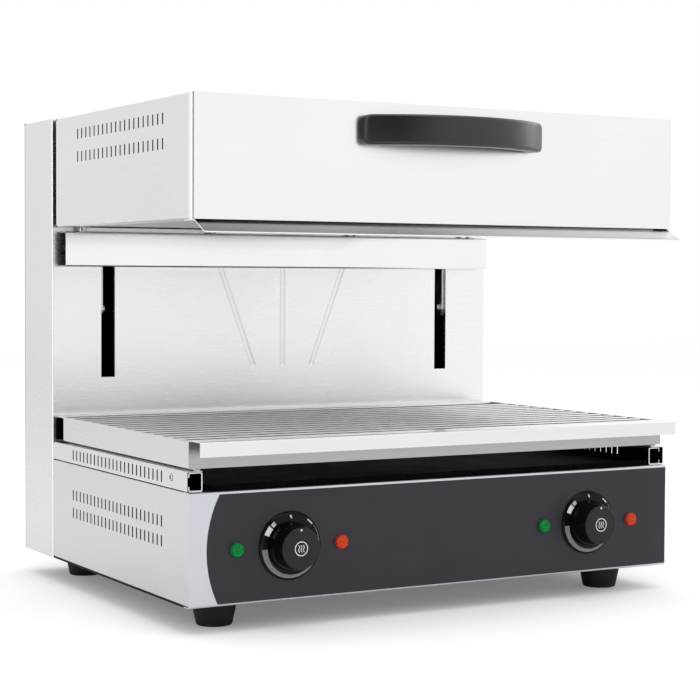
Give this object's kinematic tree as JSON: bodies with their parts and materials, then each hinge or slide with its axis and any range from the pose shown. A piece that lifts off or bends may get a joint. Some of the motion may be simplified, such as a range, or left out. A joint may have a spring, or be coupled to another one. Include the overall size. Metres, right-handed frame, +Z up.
{
  "type": "lift salamander grill",
  "caption": "Countertop lift grill: steel base with controls, rod rack over a crumb tray, and a heated hood with a bow handle that rides up and down a rear column.",
  "frame": {"origin": "centre of the bounding box's bottom face, on the surface that the feet stand on, with the hood raised", "axes": "+X to the right seen from the front, +Y to the rear, +Z up"},
  "size_m": [0.602, 0.544, 0.5386],
  "materials": {
    "stainless": "brushed, satin",
    "bright_wire": "bright drawn rod",
    "fasteners": "zinc plated",
    "rollers": "moulded nylon",
    "black_steel": "black, semi-matt",
    "spring_steel": "oiled wire",
    "overlay": "dark grey satin film",
    "black_plastic": "glossy moulded",
    "handle_plastic": "satin moulded",
    "rubber": "matt",
    "green_lens": "clear green lens",
    "orange_lens": "clear orange lens",
    "regulator": "moulded",
    "terminal": "unglazed",
    "gland": "moulded nylon",
    "tray_enamel": "gloss black enamel",
    "reflector": "bright",
    "insulation": "mineral wool blanket",
    "heater_sheath": "oxidised nickel alloy sheath"
  },
  "bodies": {
    "cabinet": {"bottom_plate": "stainless", "left_base_side": "stainless", "right_base_side": "stainless", "base_front_panel": "stainless", "deck_plate": "stainless", "left_rail_cover": "stainless", "right_rail_cover": "stainless", "left_rail_channel": "stainless", "right_rail_channel": "stainless", "column_front_panel": "stainless", "column_shell": "stainless", "column_rear_cover": "stainless", "rail_screws": "fasteners", "rear_cover_screws": "fasteners", "foot_screws": "fasteners", "left_guide_rail": "black_steel", "right_guide_rail": "black_steel", "spring_anchors": "black_steel", "left_spring": "spring_steel", "right_spring": "spring_steel", "control_overlay": "overlay", "left_dial": "black_plastic", "right_dial": "black_plastic", "rubber_feet": "rubber", "green_lamps": "green_lens", "orange_lamps": "orange_lens", "left_regulator": "regulator", "right_regulator": "regulator", "terminal_block": "terminal", "cable_gland": "gland"},
    "hood": {"hood_shell": "stainless", "hood_front_panel": "stainless", "hood_rear_panel": "stainless", "hood_lip": "stainless", "reflector": "reflector", "hood_insulation": "insulation", "left_heater": "heater_sheath", "right_heater": "heater_sheath", "heater_brackets": "stainless", "handle": "handle_plastic", "handle_screws": "fasteners", "carrier_beam": "stainless", "beam_bolts": "fasteners", "left_arm": "stainless", "right_arm": "stainless", "roller_axles": "fasteners"},
    "rack": {"rack_sides": "stainless", "rack_front": "stainless", "rack_rear": "stainless", "rack_rods": "bright_wire", "rack_cross_bar": "bright_wire"},
    "crumb_tray": {"crumb_tray": "tray_enamel"},
    "left_knob": {"left_knob": "black_plastic", "left_shaft": "fasteners"},
    "right_knob": {"right_knob": "black_plastic", "right_shaft": "fasteners"},
    "left_lower_roller": {"left_lower_roller": "rollers"},
    "left_upper_roller": {"left_upper_roller": "rollers"},
    "right_lower_roller": {"right_lower_roller": "rollers"},
    "right_upper_roller": {"right_upper_roller": "rollers"}
  },
  "joints": [
    {"name": "hood_lift", "type": "slide", "parent": "cabinet", "child": "hood", "axis": [0, 0, 1], "range_m": [-0.13, 0], "deforming": ["left_spring", "right_spring"]},
    {"name": "rack_slide", "type": "slide", "parent": "cabinet", "child": "rack", "axis": [0, -1, 0], "range_m": [0, 0.25]},
    {"name": "tray_slide", "type": "slide", "parent": "cabinet", "child": "crumb_tray", "axis": [0, -1, 0], "range_m": [0, 0.25]},
    {"name": "left_knob_turn", "type": "hinge", "parent": "cabinet", "child": "left_knob", "pos_m": [-0.188, -0.2145, 0.084], "axis": [0, 1, 0], "range_deg": [0, 270]},
    {"name": "right_knob_turn", "type": "hinge", "parent": "cabinet", "child": "right_knob", "pos_m": [0.188, -0.2145, 0.084], "axis": [0, 1, 0], "range_deg": [0, 270]},
    {"name": "left_lower_roller_spin", "type": "hinge", "parent": "hood", "child": "left_lower_roller", "pos_m": [-0.2484, 0.1764, 0.3182], "axis": [1, 0, 0], "range_deg": [0, 700]},
    {"name": "left_upper_roller_spin", "type": "hinge", "parent": "hood", "child": "left_upper_roller", "pos_m": [-0.2484, 0.1764, 0.3862], "axis": [1, 0, 0], "range_deg": [-700, 0]},
    {"name": "right_lower_roller_spin", "type": "hinge", "parent": "hood", "child": "right_lower_roller", "pos_m": [0.2484, 0.1764, 0.3182], "axis": [1, 0, 0], "range_deg": [0, 700]},
    {"name": "right_upper_roller_spin", "type": "hinge", "parent": "hood", "child": "right_upper_roller", "pos_m": [0.2484, 0.1764, 0.3862], "axis": [1, 0, 0], "range_deg": [-700, 0]}
  ],
  "couplings": [
    {"joint": "left_lower_roller_spin", "follows": "hood_lift", "rad_per_m": -91.743},
    {"joint": "left_upper_roller_spin", "follows": "hood_lift", "rad_per_m": 91.743},
    {"joint": "right_lower_roller_spin", "follows": "hood_lift", "rad_per_m": -91.743},
    {"joint": "right_upper_roller_spin", "follows": "hood_lift", "rad_per_m": 91.743}
  ]
}
